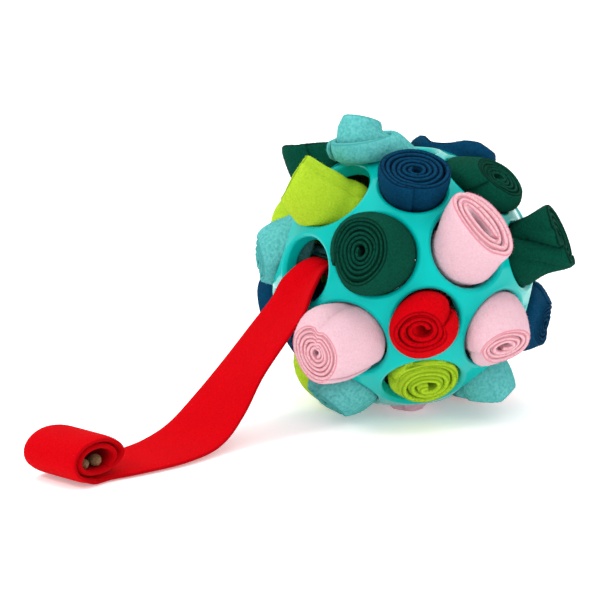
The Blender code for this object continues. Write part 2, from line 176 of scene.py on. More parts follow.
def new_material(name, colour, roughness):
    """A material, its node tree and its shader."""
    made = bpy.data.materials.new(name)
    made.use_nodes = True
    shader = made.node_tree.nodes["Principled BSDF"]
    shader.inputs["Base Color"].default_value = hex_colour(colour)
    shader.inputs["Roughness"].default_value = roughness
    return made, made.node_tree, shader


def noise(tree, where, per_mm, detail, roughness=0.5):
    """A noise pattern whose lumps are one over this many millimetres across."""
    node = tree.nodes.new("ShaderNodeTexNoise")
    node.inputs["Scale"].default_value = per_mm / MM
    node.inputs["Detail"].default_value = detail
    node.inputs["Roughness"].default_value = roughness
    tree.links.new(where, node.inputs["Vector"])
    return node.outputs["Fac"]


def ramp(tree, value, low, high, to_low=0.0, to_high=1.0):
    """A value spread from this span to another, and held inside it."""
    node = tree.nodes.new("ShaderNodeMapRange")
    span = {"From Min": low, "From Max": high, "To Min": to_low, "To Max": to_high}
    for socket, number in span.items():
        node.inputs[socket].default_value = number
    tree.links.new(value, node.inputs["Value"])
    return node.outputs["Result"]


def mix_colours(tree, share, first, second):
    """A mix of two colours, each a colour code or a socket."""
    node = tree.nodes.new("ShaderNodeMix")
    node.data_type = "RGBA"
    tree.links.new(share, node.inputs[0])
    # This node has several sockets of each name, so the colours' ones go by number
    for socket, colour in ((node.inputs[6], first), (node.inputs[7], second)):
        if isinstance(colour, str):
            socket.default_value = hex_colour(colour)
        else:
            tree.links.new(colour, socket)
    return node.outputs[2]


def relief(tree, height, strength, depth, under=None):
    """The shading of a relief this deep, which can lie on another one."""
    node = tree.nodes.new("ShaderNodeBump")
    node.inputs["Strength"].default_value = strength
    node.inputs["Distance"].default_value = depth
    tree.links.new(height, node.inputs["Height"])
    if under is not None:
        tree.links.new(under, node.inputs["Normal"])
    return node.outputs["Normal"]


# Glossy moulded plastic: a smooth skin with soft reflections. Its shade drifts a little over 25 mm, its
# gloss over 3 mm, as on rubbed plastic, and its surface waves faintly, as a moulded skin does.
plastic, tree, shader = new_material("moulded_turquoise_plastic", "#00A6A0", roughness=0.14)
shader.inputs["Specular Tint"].default_value = hex_colour("#5CF0EA")
shader.inputs["Subsurface Weight"].default_value = 0.05
shader.inputs["Subsurface Radius"].default_value = (0.4, 1.0, 1.0)
shader.inputs["Subsurface Scale"].default_value = 2 * MM
place = tree.nodes.new("ShaderNodeTexCoord").outputs["Object"]
shade = ramp(tree, noise(tree, place, per_mm=0.04, detail=2), low=0.35, high=0.65)
tree.links.new(mix_colours(tree, shade, "#00A29B", "#00ABA4"), shader.inputs["Base Color"])
rubbed = noise(tree, place, per_mm=0.35, detail=4, roughness=0.7)
rubbed = ramp(tree, rubbed, low=0.4, high=0.75, to_low=0.10, to_high=0.18)
tree.links.new(rubbed, shader.inputs["Roughness"])
waves = noise(tree, place, per_mm=0.3, detail=2)
waves = relief(tree, waves, strength=0.12, depth=0.15 * MM)
tree.links.new(waves, shader.inputs["Normal"])
cage_mesh.materials.append(plastic)


# Fleece in six colours: a brushed polyester knit, matt, with a pile that clumps about every millimetre.
# Its cut edge, which the `cut` attribute marks, shows the knit's own colour. Where the edge turns into
# the sides it is painted darker, as shade in the grooves between the layers. The light teal one has a
# curlier pile.
def fleece(name, pile, shadow, cut, groove_shade, curl):
    """One colour of fleece. The clumps of its pile are this many millimetres across."""
    made, tree, shader = new_material(name, pile, roughness=1.0)
    shader.inputs["Specular IOR Level"].default_value = 0.05
    shader.inputs["Sheen Weight"].default_value = 0.12
    shader.inputs["Sheen Roughness"].default_value = 0.6
    shader.inputs["Sheen Tint"].default_value = hex_colour(pile)
    place = tree.nodes.new("ShaderNodeTexCoord").outputs["Object"]
    clumps = noise(tree, place, per_mm=1.1 / curl, detail=3, roughness=0.6)
    drift = noise(tree, place, per_mm=0.08, detail=2)
    fibres = noise(tree, place, per_mm=2.0, detail=3, roughness=0.7)
    edge = tree.nodes.new("ShaderNodeAttribute")
    edge.attribute_name = "cut"
    edge = edge.outputs["Fac"]
    body = mix_colours(tree, ramp(tree, clumps, low=0.34, high=0.62), shadow, pile)
    body = mix_colours(tree, ramp(tree, drift, low=0.35, high=0.65, to_high=0.30), body, shadow)
    knit = mix_colours(tree, ramp(tree, clumps, low=0.30, high=0.50), groove_shade, cut)
    # Painted shade: low values of `cut` darken to the groove colour, between layers and in the end roll
    body = mix_colours(tree, ramp(tree, edge, low=0.0, high=0.4), body, groove_shade)
    body = mix_colours(tree, ramp(tree, edge, low=0.5, high=1.0), body, knit)
    tree.links.new(body, shader.inputs["Base Color"])
    lumps = relief(tree, clumps, strength=0.8, depth=0.5 * curl * MM)
    tufts = relief(tree, fibres, strength=0.6, depth=0.2 * MM, under=lumps)
    tree.links.new(tufts, shader.inputs["Normal"])
    return made


fleeces = {
    "red": fleece("brushed_fleece_red", "#C4000B", "#B40009", "#BA000A", "#840006", 1.0),
    "lime": fleece("brushed_fleece_lime", "#AACB30", "#9ABC26", "#A2C42A", "#6C9012", 1.0),
    "pink": fleece("brushed_fleece_pink", "#D8B3BD", "#CFA8B3", "#DCB2BA", "#C87C88", 1.0),
    "navy": fleece("brushed_fleece_navy", "#053E5C", "#04304C", "#063A58", "#02182C", 1.0),
    "green": fleece("brushed_fleece_green", "#044636", "#03382A", "#054031", "#011C14", 1.0),
    "teal": fleece("curly_fleece_teal", "#62B6B4", "#449C9B", "#56AAA7", "#3C908E", 1.5),
}


# Rolls: the ends of the fleece strips, each wound up tight on itself and pressed into its hole, where
# the spring of the fleece and the grip of its pile hold it.

# A sheet is a grid of points on its middle surface. It gets its thickness to both sides and rounded
# rims along its long edges. Loose fibres of the pile stand on the parts that can be seen, each a
# sliver of a triangle. The rims' values of `cut` go from the pile over painted groove shade to the bare
# edge, and back the same way to the pile.
RIM_CUT_AND_SHADE = (0.45, 0.9, 1.0, 0.9, 0.45)
RIM = len(RIM_CUT_AND_SHADE)
NEAR_RIM = 3
FIBRE_LONG = 0.8 * MM
FIBRE_HALF = 0.07 * MM
FIBRE_ROOT = 0.1 * MM
FIBRES_A_ROLL = 9000


def unit(vectors):
    """The vectors' directions, each one long."""
    return vectors / np.maximum(np.linalg.norm(vectors, axis=-1, keepdims=True), 1e-12)


def through(rows, steps):
    """Rows of numbers made smooth between the given ones, by Catmull-Rom."""
    rows = np.asarray(rows, float)
    padded = np.concatenate([rows[:1], rows, rows[-1:]])
    made = []
    for k in range(len(rows) - 1):
        a, b, c, d = padded[k : k + 4]
        for t in np.arange(steps) / steps:
            cubic = (3 * b - a - 3 * c + d) * t**3
            made.append((2 * b + (c - a) * t + (2 * a - 5 * b + 4 * c - d) * t**2 + cubic) / 2)
    return np.array(made + [rows[-1]])


def new_object(name, points, faces, cut_and_shade, colour):
    """A fleece mesh whose `cut` attribute has these values."""
    mesh = bpy.data.meshes.new(name)
    mesh.from_pydata(points, [], faces)
    attribute = mesh.attributes.new("cut", "FLOAT", "POINT")
    attribute.data.foreach_set("value", cut_and_shade.astype(np.float32))
    mesh.shade_smooth()
    mesh.materials.append(fleeces[colour])
    made = bpy.data.objects.new(name, mesh)
    bpy.context.scene.collection.objects.link(made)
    return made


def loose_fibres(name, points, faces, cut_and_shade, colour, how_many):
    """The loose fibres of a pile, as slivers standing on some faces of a sheet."""
    number = np.random.RandomState(len(name))
    corners = points[faces]
    cross = np.cross(corners[:, 2] - corners[:, 0], corners[:, 3] - corners[:, 1])
    area = np.linalg.norm(cross, axis=-1)
    chosen = number.choice(len(faces), how_many, p=area / area.sum())
    u, v = number.rand(2, how_many, 1)
    a, b, c, d = (corners[chosen, k] for k in range(4))
    root = (a * (1 - u) + b * u) * (1 - v) + (d * (1 - u) + c * u) * v
    away = unit(cross[chosen])
    way = unit(away * 0.55 + unit(number.normal(size=(how_many, 3))) * 0.75)
    wide = unit(np.cross(way, number.normal(size=(how_many, 3)))) * FIBRE_HALF
    tip = root + way * FIBRE_LONG * number.uniform(0.5, 1.3, (how_many, 1))
    root = root - away * FIBRE_ROOT
    slivers = np.stack([root - wide, root + wide, tip], 1).reshape(-1, 3)
    triangles = np.arange(len(slivers)).reshape(-1, 3).tolist()
    return new_object(name, slivers, triangles, np.repeat(cut_and_shade[faces[chosen, 0]], 3), colour)


def thick_sheet(name, middle, half, colour, seen=None, fibres=0, edge=1.0):
    """A closed sheet of fleece, its length, and the loose fibres of its pile.

    `middle` is stations by points by 3, and `half` its half thickness there. `seen` says at which
    stations fibres stand on both sides. They stand on the second edge at every station.
    """
    along = unit(np.gradient(middle, axis=0))
    across = unit(np.gradient(middle, axis=1))
    normal = unit(np.cross(along, across))
    half = np.broadcast_to(half, middle.shape[:2])[..., None]
    turns = np.linspace(0, math.pi, RIM + 2)[1:-1]
    last = [
        middle[:, -1] + half[:, -1] * (normal[:, -1] * math.cos(t) + across[:, -1] * math.sin(t))
        for t in turns
    ]
    first = [
        middle[:, 0] - half[:, 0] * (normal[:, 0] * math.cos(t) + across[:, 0] * math.sin(t))
        for t in turns
    ]
    sides = (middle + normal * half, (middle - normal * half)[:, ::-1])
    loops = np.concatenate([sides[0], np.stack(last, 1), sides[1], np.stack(first, 1)], axis=1)
    count, size = loops.shape[:2]
    width = middle.shape[1]
    cut = np.zeros(size)
    cut[width : width + RIM] = np.array(RIM_CUT_AND_SHADE) * edge
    cut[-RIM:] = np.array(RIM_CUT_AND_SHADE) * edge
    index = np.arange(count * size).reshape(count, size)
    ahead = np.roll(index, -1, axis=1)
    grid = np.stack([index[:-1], index[1:], ahead[1:], ahead[:-1]], -1)
    points = loops.reshape(-1, 3)
    cut_and_shade = np.tile(cut, count)
    faces = grid.reshape(-1, 4).tolist() + [list(index[0]), list(index[-1][::-1])]
    made = new_object(name, points, faces, cut_and_shade, colour)
    length = np.linalg.norm(np.diff(middle[:, width // 2], axis=0), axis=-1).sum()
    if not fibres:
        return made, length
    bare = np.zeros(grid.shape[:2], bool)
    bare[:, width - NEAR_RIM : width + RIM + NEAR_RIM] = True
    bare[seen[:-1]] = True
    pile = loose_fibres(name.replace("fleece", "pile"), points, grid[bare], cut_and_shade, colour, fibres)
    return made, length, pile


# Each roll: its stand out of the ball, how far its face leans right and up, the face's tilt to the
# right and up, the face's half width and half height, the turn of that oval in degrees, how far its
# body swells past them, its layers, its outer end's place in degrees, and how far its eye rises over
# its rim. Lengths are in mm.
roll_looks = {
    "red_front": (6.0, -4.6, -1.8, -0.10, -0.14, 13.4, 11.2, 0, 1.6, 4.0, 20, -2.6),
    "green_front_upper_left": (11.7, -4.4, -1.1, -0.40, -0.04, 15.4, 15.8, 0, 1.6, 7.2, 200, -1.5),
    "pink_front_lower_left": (17.0, -6.4, 2.9, -0.34, 0.15, 14.6, 14.6, 0, 1.6, 7.0, 300, -0.5),
    "lime_front_low": (-1.5, 1.0, 4.2, 0.00, 0.20, 15.4, 13.8, 0, -2.0, 4.2, 170, 4.8),
    "pink_front_lower_right": (8.2, -5.4, -2.2, -0.18, -0.36, 15.0, 12.2, 0, 0.4, 4.8, 200, 0.5),
    "pink_front_upper_right": (10.6, 1.5, 8.4, 0.17, 0.22, 19.4, 12.6, -60, 0.0, 4.4, 150, 0.0),
    "teal_low_left": (8.0, -4.5, 2.6, -0.20, 0.10, 12.4, 12.6, 0, 1.0, 4.6, 80, 0.0),
    "teal_low_right": (12.5, 0.0, -1.6, 0.10, 0.15, 13.4, 13.4, 0, 1.0, 4.6, 200, 0.0),
    "green_right": (17.6, 0.9, 5.0, 0.17, 0.22, 15.4, 15.8, 0, -1.4, 5.4, 300, -1.0),
    "navy_top_front": (8.4, 0.0, 0.0, 0.01, 0.15, 16.4, 16.0, 0, 0.6, 6.4, 260, -1.0),
    "lime_upper_left": (15.1, -5.6, -7.2, -0.80, -0.16, 12.6, 12.4, 0, -2.6, 5.2, 30, 0.0),
    "navy_left_low": (-1.5, 0.0, 0.0, 0.00, 0.00, 15.4, 15.4, 0, 0.0, 5.4, 0, 0.0),
    "pink_base": (3.7, 0.0, 0.0, 0.00, 0.00, 5.4, 5.4, 0, -8.5, 3.6, 140, 0.0),
    "navy_right_low": (8.1, -1.5, -2.2, -0.42, 0.15, 12.4, 11.6, 0, -0.4, 5.6, 90, 0.5),
    "green_top_right": (7.3, -4.4, -5.5, -0.06, 0.06, 14.0, 13.2, 0, 0.2, 6.0, 170, -0.5),
    "teal_left": (4.0, 1.8, -11.0, 0.10, -0.40, 12.4, 12.0, 0, -3.0, 4.6, 220, 1.0),
    "lime_low_back_left": (7.3, 0.0, 0.0, 0.00, 0.10, 15.8, 15.6, 0, 0.6, 5.2, 40, 0.0),
    "red_low_right": (7.3, 0.0, 0.0, 0.08, 0.05, 15.8, 15.6, 0, 0.8, 5.8, 310, -0.5),
    "teal_right_back": (-1.1, 0.0, 0.0, 0.00, 0.06, 15.4, 15.4, 0, 0.0, 4.6, 75, 0.0),
    "teal_top": (8.4, 20.5, -1.5, -0.35, -0.11, 15.4, 14.8, 0, 0.6, 5.4, 330, 8.5),
    "green_top_left": (12.5, -2.9, 1.5, -0.22, 0.60, 14.8, 14.8, 0, 1.0, 5.4, 10, 0.0),
    "navy_back_left": (7.7, 0.0, -1.5, 0.05, 0.05, 13.8, 13.6, 0, 1.0, 5.4, 210, 0.0),
    "red_low_back": (7.3, 0.0, 0.0, -0.05, 0.10, 15.0, 14.8, 0, 0.6, 5.4, 130, 0.0),
    "navy_back_right": (9.1, 0.0, 0.0, 0.08, 0.04, 14.8, 14.6, 0, 0.6, 6.0, 280, 0.5),
    "navy_top_right": (2.0, 8.0, 0.0, 0.04, 0.00, 29.5, 15.0, -6, -0.5, 4.4, 20, 0.0),
    "lime_back_left": (8.8, 0.0, 0.0, -0.08, 0.08, 16.4, 15.8, 0, 0.8, 5.4, 150, 0.5),
    "lime_low_back": (7.7, 0.0, 0.0, 0.05, 0.08, 15.8, 15.6, 0, 0.8, 6.2, 240, 0.0),
    "pink_low_back_right": (8.8, 0.0, 0.0, -0.06, 0.10, 16.2, 15.6, 0, 0.8, 6.6, 70, 0.0),
    "teal_back_right": (9.5, 0.0, 0.0, 0.10, -0.06, 16.2, 15.8, 0, 0.6, 4.8, 350, 0.5),
    "lime_top_back": (9.1, 0.0, 0.0, 0.06, 0.10, 15.8, 15.6, 0, 0.8, 5.6, 110, 0.0),
    "pink_back": (8.4, 0.0, 0.0, 0.08, 0.08, 15.0, 14.8, 0, 0.6, 6.2, 200, 0.0),
}

# Heights across some faces in mm, from the left end of the oval to the right
crowns = {
    "navy_top_right": (2.0, 4.4, 3.4, 0.4, -1.4, -0.4, 2.4, 3.8, 3.8, 3.0, 1.0),
    "navy_right_low": (-2.5, 0.5, 1.0, 0.5, -2.5),
    "teal_left": (-1.5, 0.0, 0.3, 0.0, -1.5),
}

# Rolls that bend over the lip: the share of the lean that they have at the lip and at their belly,
# the belly's height as a share, its tilt to the right and up, how slim they are at the lip, and how
# much of that lean and slimness reaches down into the hole. The usual bend is for all other rolls.
bends = {
    "teal_top": (0.30, 0.85, 0.35, 0.45, 0.0, 0.85, 0.4),
    "lime_upper_left": (0.58, 0.90, 0.35, 0.0, -0.3, 0.82, 0.9),
    "lime_front_low": (0.50, 0.80, 0.45, 0.0, 0.0, 0.88, 0.4),
    "pink_front_upper_right": (0.06, 0.60, 0.45, 0.0, 0.0, 0.95, 0.4),
    "navy_right_low": (0.10, 0.60, 0.45, 0.0, 0.0, 0.86, 0.4),
    "teal_left": (0.35, 0.80, 0.45, 0.0, -0.3, 0.85, 0.4),
    "pink_base": (0.06, 0.60, 0.45, 0.0, 0.0, 0.60, 0.4),
}
USUAL_BEND = (0.06, 0.6, 0.45, 0, 0, 1, 0.4)

# Rolls that are pressed flat underneath, and how high above the floor in mm
flattened = {"teal_low_right": 10.0, "teal_low_left": 4.2}

# Creases down the side of some rolls: where on the rim in degrees, how far round they turn on their
# way down, their width in degrees and their depth as a share of the roll's radius
creases = {
    "green_right": ((205, -110, 14, 0.45), (160, -80, 10, 0.14), (252, -100, 9, 0.16)),
    "pink_front_lower_left": ((75, 10, 9, 0.16),),
    "pink_front_upper_right": ((330, -20, 14, 0.05),),
    "green_top_right": ((215, 30, 12, 0.06),),
    "navy_top_front": ((250, -20, 12, 0.04),),
    "teal_left": ((150, 30, 18, 0.06),),
}

# How far a roll's foot is under the ball's surface, its play in the hole, its eye's radius, the steps
# that it is drawn in, and how far over the lip it has swelled, and by how much
ROLL_DEPTH = 15 * MM
FIT = 0.3 * MM
EYE = 0.4 * MM
STEPS_A_TURN = 44
STEPS_A_SECTION = 12
RIM_RISE = 1.8 * MM
RIM_SWELL = 0.9 * MM


def roll_profile(name, look):
    """Sections up a roll, and how far along it the hole's inner edge and its own top are.

    A section has its centre, two directions, the half size in each of them, and how far along it is.
    """
    stand, lean_r, lean_u, tilt_r, tilt_u, wide, high, oval, swell = look[:9]
    right, up, out = hole_frame(hole_axis[name])
    angle = half_angle[name]
    edge = (CAGE_R - WALL) * math.cos(angle)
    edge_half = (CAGE_R - WALL) * math.sin(angle) - FIT
    knee = (CAGE_R - LIP) * math.cos(angle)
    knee_half = (CAGE_R - LIP) * math.sin(angle) - FIT
    bottom = CAGE_R - ROLL_DEPTH
    top = CAGE_R + stand * MM
    bottom_half = edge_half - (edge - bottom) * math.tan(angle)
    rim = knee + min(RIM_RISE, (top - knee) * 0.4)
    at_lip, at_belly, belly_height, bend_r, bend_u, slim, follow = bends.get(name, USUAL_BEND)
    belly = rim + (top - rim) * belly_height
    normal = unit(out + tilt_r * right + tilt_u * up)
    wide_way = unit(right - normal * (right @ normal))
    high_way = np.cross(normal, wide_way)
    turn = math.radians(oval)
    wide_way, high_way = (
        wide_way * math.cos(turn) + high_way * math.sin(turn),
        high_way * math.cos(turn) - wide_way * math.sin(turn),
    )
    low_wide = right * math.cos(turn) + up * math.sin(turn)
    low_high = up * math.cos(turn) - right * math.sin(turn)
    lean = (right * lean_r + up * lean_u) * MM
    bent = right * bend_r + up * bend_u
    # What of the lean and the slimness reaches the hole's inner edge
    more = follow - USUAL_BEND[-1]
    deep = at_lip * more * 0.4
    drawn = 1 + (slim - 1) * more
    rim_half = (knee_half + RIM_SWELL) * slim
    low_half = knee_half * (1 + (slim - 1) * (follow + 0.1))
    belly_wide = max(knee_half, (rim_half + wide * MM) / 2) + swell * MM
    belly_high = max(knee_half, (rim_half + high * MM) / 2) + swell * MM
    edge_half = edge_half * drawn
    # The foot, the hole's inner edge, where its lip starts, just over that, the belly and the face
    rows = [
        (ball_centre + out * bottom, low_wide, low_high, bottom_half, bottom_half),
        (ball_centre + out * edge + lean * deep, low_wide, low_high, edge_half, edge_half),
        (ball_centre + out * knee + lean * at_lip * follow, low_wide, low_high, low_half, low_half),
        (ball_centre + out * rim + lean * at_lip, low_wide, low_high, rim_half, rim_half),
        (
            ball_centre + out * belly + lean * at_belly,
            unit(low_wide + wide_way - out * (bent @ low_wide) * 2),
            unit(low_high + high_way - out * (bent @ low_high) * 2),
            belly_wide,
            belly_high,
        ),
        (ball_centre + out * top + lean, wide_way, high_way, wide * MM, high * MM),
    ]
    rows = np.array([np.concatenate([a, b, c, [d, e]]) for a, b, c, d, e in rows])
    up_it = np.cumsum(np.concatenate([[0], np.linalg.norm(np.diff(rows[:, :3], axis=0), axis=-1)]))
    fine = through(np.concatenate([rows, up_it[:, None]], axis=1), STEPS_A_SECTION)
    return fine, up_it[1], up_it[-1]


# How ragged the sheet's top edge is in mm, how uneven its layers are as a share of one, the rise in mm
# from which an eye is high, the turns over which the sheet's outer end is tucked in, and the height of
# the outer turn's soft top edge and how far it draws in
RAGGED = 0.5
UNEVEN = 0.10
HIGH_EYE = 5
TUCK = 0.10
SOFT_TOP = 2.2 * MM
SOFT_TOP_INSET = 0.5 * MM


def roll_middle(name, look, seed):
    """The middle surface of a roll's wound sheet, its half thickness, and the turns to its end."""
    layers, end_degrees, eye_rise = look[9:12]
    profile, lowest, highest = roll_profile(name, look)
    number = np.random.RandomState(seed)
    turns = layers - 1
    count = int(turns * STEPS_A_TURN)
    done = np.linspace(0, 1, count)
    back = (1 - done) * turns
    turn = math.radians(end_degrees) - 2 * math.pi * back
    # The height of the sheet's top edge over the face in mm: ragged, crowned, and raised or sunk at
    # the eye
    knots = np.linspace(0, turns, int(turns * 4) + 2)
    ragged = np.interp(back, knots, number.uniform(-RAGGED, RAGGED, len(knots)))
    if name in crowns:
        crown = crowns[name]
        across = np.cos(turn) * (1 - 0.8 * back / layers)
        ragged = ragged + np.interp(across, np.linspace(-1, 1, len(crown)), crown)
    if eye_rise > HIGH_EYE:
        inner = np.clip((back - 1.0) / 0.5, 0, 1)
        ragged = ragged + eye_rise * (inner * inner * (3 - 2 * inner) - 0.45)
    else:
        ragged = ragged + eye_rise * back / turns
    end = highest + ragged * MM
    points = np.concatenate([[0, 0.12], 1 - 0.75 * np.linspace(1, 0, 11) ** 1.15])
    level = points[None, :] * end[:, None]
    up_it = profile[:, -1]
    at = [np.interp(level, up_it, profile[:, k]) for k in range(11)]
    beyond = np.maximum(level - highest, 0)[..., None]
    axis = unit(np.cross(profile[-1, 3:6], profile[-1, 6:9]))
    centre = np.stack(at[0:3], -1) + beyond * axis
    wide_way = unit(np.stack(at[3:6], -1))
    high_way = unit(np.stack(at[6:9], -1))
    wide, high = at[9], at[10]
    # How far inside the outline the sheet lies. The outer turns are nearly rings, with a step of one
    # layer from each to the next, and the inner ones are nearer to a spiral.
    least = np.minimum(wide, high)
    pitch = (least - EYE) / layers
    above = np.clip((level - lowest) / (highest - lowest), 0, 1)
    whole_back = back[:, None]
    part = whole_back % 1
    run = 0.05 + 0.15 * above
    step = np.clip((part - 1 + run) / run, 0, 1)
    stairs = whole_back - np.maximum(0.25, 1 - 0.4 * whole_back) * (part - step * step * (3 - 2 * step))
    knots = np.linspace(0, turns, int(turns * 5) + 2)
    uneven = np.interp(back, knots, number.uniform(-UNEVEN, UNEVEN, len(knots))) * np.clip(back, 0, 1)
    tuck = np.clip(1 - back / TUCK, 0, 1)
    inset = pitch * (0.5 + stairs + (uneven + 0.22 * tuck)[:, None])
    inset = inset + 0.3 * np.maximum(level - highest, 0)
    half = pitch * (0.46 - 0.24 * tuck)[:, None]
    near_top = np.clip((level - (end[:, None] - SOFT_TOP)) / SOFT_TOP, 0, 1)
    inset = inset + near_top**2 * SOFT_TOP_INSET * np.clip(1.2 - back, 0, 1)[:, None]
    # A roll is a little out of round, and some have creases down their side
    lobes = number.uniform(0, 2 * math.pi, 4)
    wobble = (
        0.020 * np.sin(2 * turn + lobes[0])
        + 0.014 * np.sin(3 * turn + lobes[1])
        + 0.010 * np.sin(5 * turn + lobes[2] + back)
    )
    grow = 1 + above * wobble[:, None]
    for place, twist, wide_as, deep in creases.get(name, ()):
        away = (np.degrees(turn)[:, None] - place - twist * (1 - above) + 180) % 360 - 180
        grow = grow - deep * np.exp(-((away / wide_as) ** 2)) * np.minimum(1, above * 3)
    across = (wide - inset) * np.cos(turn)[:, None] * grow
    upward = (high - inset) * np.sin(turn)[:, None] * grow
    middle = centre + wide_way * across[..., None] + high_way * upward[..., None]
    return middle, half, back


# The part of a strip that lies inside the ball is gathered in three folds, and it is thinner there, as
# fleece packs together. Lengths are in mm.
FOLD_BEND = 0.78
FOLD_RUN = 3.2
GATHERED_HALF = 0.6


def gathered(size):
    """A gathered strip's cross-section: its middle line in three folds, sideways and deep."""
    turn = np.linspace(-90, 90, 6)[1:-1] * math.pi / 180
    there = np.linspace(-FOLD_RUN, FOLD_RUN, 4)
    round_it = FOLD_BEND * np.cos(turn)
    climb = FOLD_BEND * np.sin(turn)
    parts = [
        np.stack([there, np.full(4, -2 * FOLD_BEND)], -1),
        np.stack([FOLD_RUN + round_it, -FOLD_BEND + climb], -1),
        np.stack([there[::-1], np.zeros(4)], -1),
        np.stack([-FOLD_RUN - round_it, FOLD_BEND + climb], -1),
        np.stack([there, np.full(4, 2 * FOLD_BEND)], -1),
    ]
    return np.concatenate(parts) * MM * size


def ribbon(stations):
    """The middle surface of a strip through stations of centre, sideways, deep and cross-section."""
    rows = []
    for centre, side, deep, section in stations:
        rows.append(centre + np.outer(section[:, 0], side) + np.outer(section[:, 1], deep))
    return np.array(rows)


def join_into(target, other):
    """Joins one piece's mesh into another's, and removes it."""
    both = bmesh.new()
    both.from_mesh(target.data)
    both.from_mesh(other.data)
    both.to_mesh(target.data)
    both.free()
    bpy.data.objects.remove(other)


# Each roll's foot is its strip's gathered end. It lies between these distances from the ball's centre
# in mm, and spreads by this much up to the roll.
FOOT_LOW, FOOT_HIGH = 42.3, 47.5
FOOT_STATIONS = 9
FOOT_SPREAD = 1.35
ON_FLOOR = 0.02
slot_of = {part["node"]: part["material_slot"] for part in frame["record"]["subparts"]}
for seed, (name, look) in enumerate(roll_looks.items()):
    colour = slot_of["roll_" + name].replace("_fleece", "")
    middle, half, back = roll_middle(name, look, seed)
    seen = back < 1.1
    roll, length, pile = thick_sheet("fleece_roll_" + name, middle, half, colour, seen, FIBRES_A_ROLL)
    right, up, out = hole_frame(hole_axis[name])
    foot = []
    heights = np.linspace(FOOT_LOW, FOOT_HIGH, FOOT_STATIONS)
    for height, size in zip(heights, np.linspace(1, FOOT_SPREAD, FOOT_STATIONS)):
        foot.append((ball_centre + out * height * MM, right, up, gathered(size)))
    leader, _ = thick_sheet("leader", ribbon(foot), GATHERED_HALF * MM, colour)
    join_into(roll, leader)
    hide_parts("roll_" + name)
    height = np.linalg.norm(np.diff(middle, axis=1), axis=-1).sum(axis=1).mean()
    rests_at = flattened.get(name, ON_FLOOR) * MM
    for piece in (roll, pile):
        for vertex in piece.data.vertices:
            if vertex.co.z < rests_at:
                vertex.co = vertex.co + Vector(out * (rests_at - vertex.co.z) / out[2])
        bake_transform(piece)


# Strip middles: the part of each fleece strip between its two rolls, gathered narrow inside the ball.
# Each runs from the foot of one roll down a short leg, round a shell inside the ball and up to the
# other roll's foot. Four lie deeper, under the others. Lengths are in mm.
SHELL = 40.2
LAYER_APART = 7
LEG_BEND = 3.5
STEP_ALONG = 2.5


def middle_route(first, second, layer, foot=42.0):
    """Points along a strip's middle, and the sideways direction across its plane."""
    a, b = hole_axis[first], hole_axis[second]
    shell = SHELL - LAYER_APART * layer
    bend = LEG_BEND
    whole = math.acos(a @ b)
    turn = np.linspace(0, math.pi / 2, 7)
    angles = np.concatenate([[0, 0], bend / shell * (1 - np.cos(turn))])
    radii = np.concatenate([[foot, (foot + shell + bend) / 2], shell + bend * (1 - np.sin(turn))])
    keep = np.concatenate([radii[:2] > shell + bend + 0.2, np.full(7, True)]) & (radii <= foot)
    angles, radii = angles[keep], radii[keep]
    steps = max(3, int(shell * (whole - 2 * bend / shell) / STEP_ALONG))
    round_it = np.linspace(bend / shell, whole - bend / shell, steps + 1)[1:-1]
    angles, radii = (
        np.concatenate([angles, round_it, whole - angles[::-1]]),
        np.concatenate([radii, np.full(len(round_it), shell), radii[::-1]]),
    )
    ahead = unit(b - a * (a @ b))
    spots = np.outer(np.cos(angles), a) + np.outer(np.sin(angles), ahead)
    return ball_centre + spots * radii[:, None] * MM, unit(np.cross(a, b))


def route_stations(points, side, sections):
    """Stations for a ribbon through these points, with these cross-sections."""
    ways = unit(np.gradient(points, axis=0))
    return [
        (point, side, np.cross(way, side), section)
        for point, way, section in zip(points, ways, sections)
    ]


DEEPER = {
    "strip_green_front_upper_left_to_top_left": 1,
    "strip_lime_front_low_to_low_back_left": 1,
    "strip_pink_front_lower_left_to_base": 2,
    "strip_teal_left_to_top": 2,
}
for node in frame["nodes"]:
    if not node.startswith("strip_"):
        continue
    _, colour, ends = node.split("_", 2)
    first, second = ends.split("_to_")
    points, side = middle_route(f"{colour}_{first}", f"{colour}_{second}", DEEPER.get(node, 0))
    sizes = 1 + 0.05 * np.sin(np.arange(len(points)) * 0.9)
    stations = route_stations(points, side, [gathered(size) for size in sizes])
    strip, length = thick_sheet("fleece_" + node, ribbon(stations), GATHERED_HALF * MM, colour)
    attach(strip, "ball")
    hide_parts(node)


# Red strip: a loose strip of fleece, cut straight, 30 mm wide and 3 mm thick. In one piece it is the
# roll at its end with an open core, the loose run along the floor and up to the open hole, the drape
# over the hole's lower lip, and the gathered run inside the ball.
STRIP_HALF = 15.0
POINTS_ACROSS = 20
# Along the strip from the end roll: x, y and z of its middle in mm, the heading and slope of its
# width in degrees, how far its middle sags below its edges, its half width, and how folded it is.
loose_rows = [
    (-182.4, 29.9, 1.5, 90, 0, 0.0, 15.0, 0),
    (-171.1, 29.6, 1.5, 86, 0, 0.0, 15.0, 0),
    (-154.0, 25.1, 1.9, 70, 1, 0.0, 15.0, 0),
    (-133.3, 21.8, 3.3, 79, 5, 0.3, 15.0, 0),
    (-115.0, 22.1, 6.6, 91, 8, 0.6, 15.0, 0),
    (-99.1, 23.0, 15.7, 89, 5, 0.6, 15.0, 0),
    (-84.5, 21.6, 30.1, 77, 2, 0.6, 14.8, 0),
    (-69.8, 17.0, 47.1, 73, 3, 0.9, 14.2, 0),
    (-63.5, 13.4, 56.2, 74, 2, 2.1, 13.2, 0),
    (-60.1, 9.6, 66.6, 78, 0, 3.6, 11.2, 0.05),
    (-54.5, 6.8, 74.0, 80, 0, 4.0, 8.8, 0.2),
    (-48.5, 5.8, 75.6, 80, 0, 3.0, 7.6, 0.5),
    (-44.0, 5.6, 73.0, 80, 0, 2.0, 6.6, 0.85),
]
STEPS_A_ROW = 7
rows = through(loose_rows, STEPS_A_ROW)
